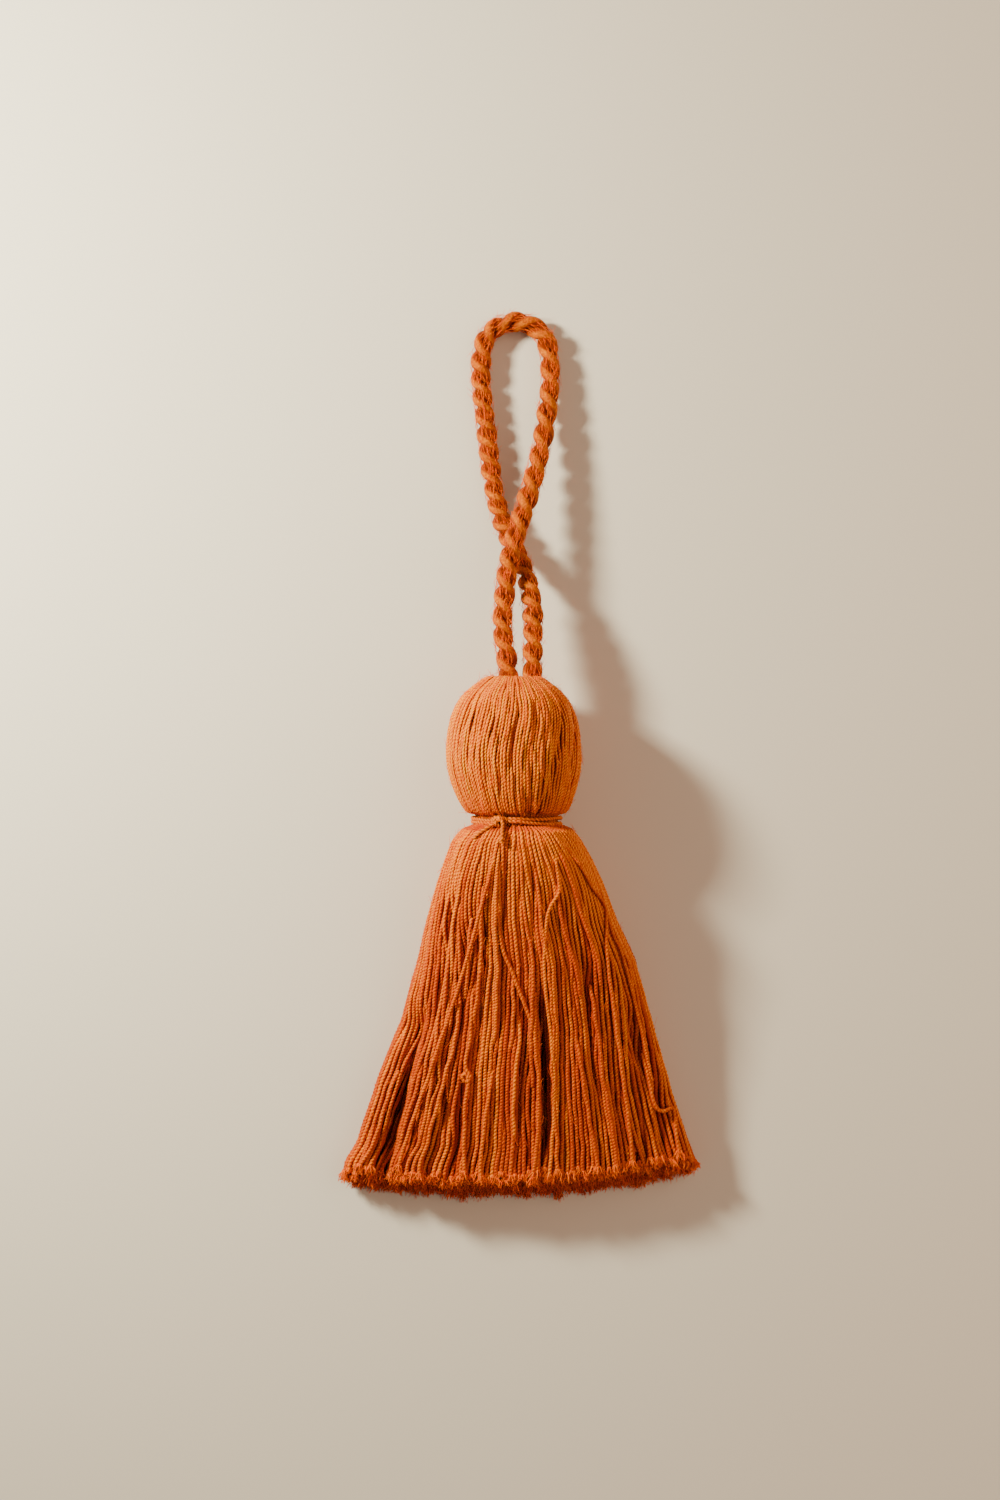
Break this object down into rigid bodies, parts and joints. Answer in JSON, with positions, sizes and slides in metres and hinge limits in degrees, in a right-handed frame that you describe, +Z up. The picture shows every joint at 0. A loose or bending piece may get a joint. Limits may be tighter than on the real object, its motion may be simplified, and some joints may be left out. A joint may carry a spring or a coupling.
{
  "type": "tassel",
  "caption": "Cotton tassel lying flat: a wound ball head over a spread fringe skirt, a tied neck binding and a twisted rope hanging loop.",
  "frame": {"origin": "bottom centre of the box round the head, skirt and binding, on the surface that the tassel lies on; the rope loop is not counted", "axes": "+Y along the tassel from the cut ends towards the hanging loop, +Z up from the surface, +X to the right when seen from above with the loop away from the viewer"},
  "size_m": [0.073, 0.1819, 0.0266],
  "materials": {
    "plied_cotton": "two-ply cotton yarn, burnt orange, matte",
    "binding_cotton": "two-ply cotton yarn, burnt orange, matte",
    "rope_cotton": "three-strand twisted cotton rope, burnt orange, matte"
  },
  "bodies": {
    "root": {"head_and_skirt": "plied_cotton", "neck_binding": "binding_cotton", "hanging_loop": "rope_cotton"}
  },
  "joints": []
}
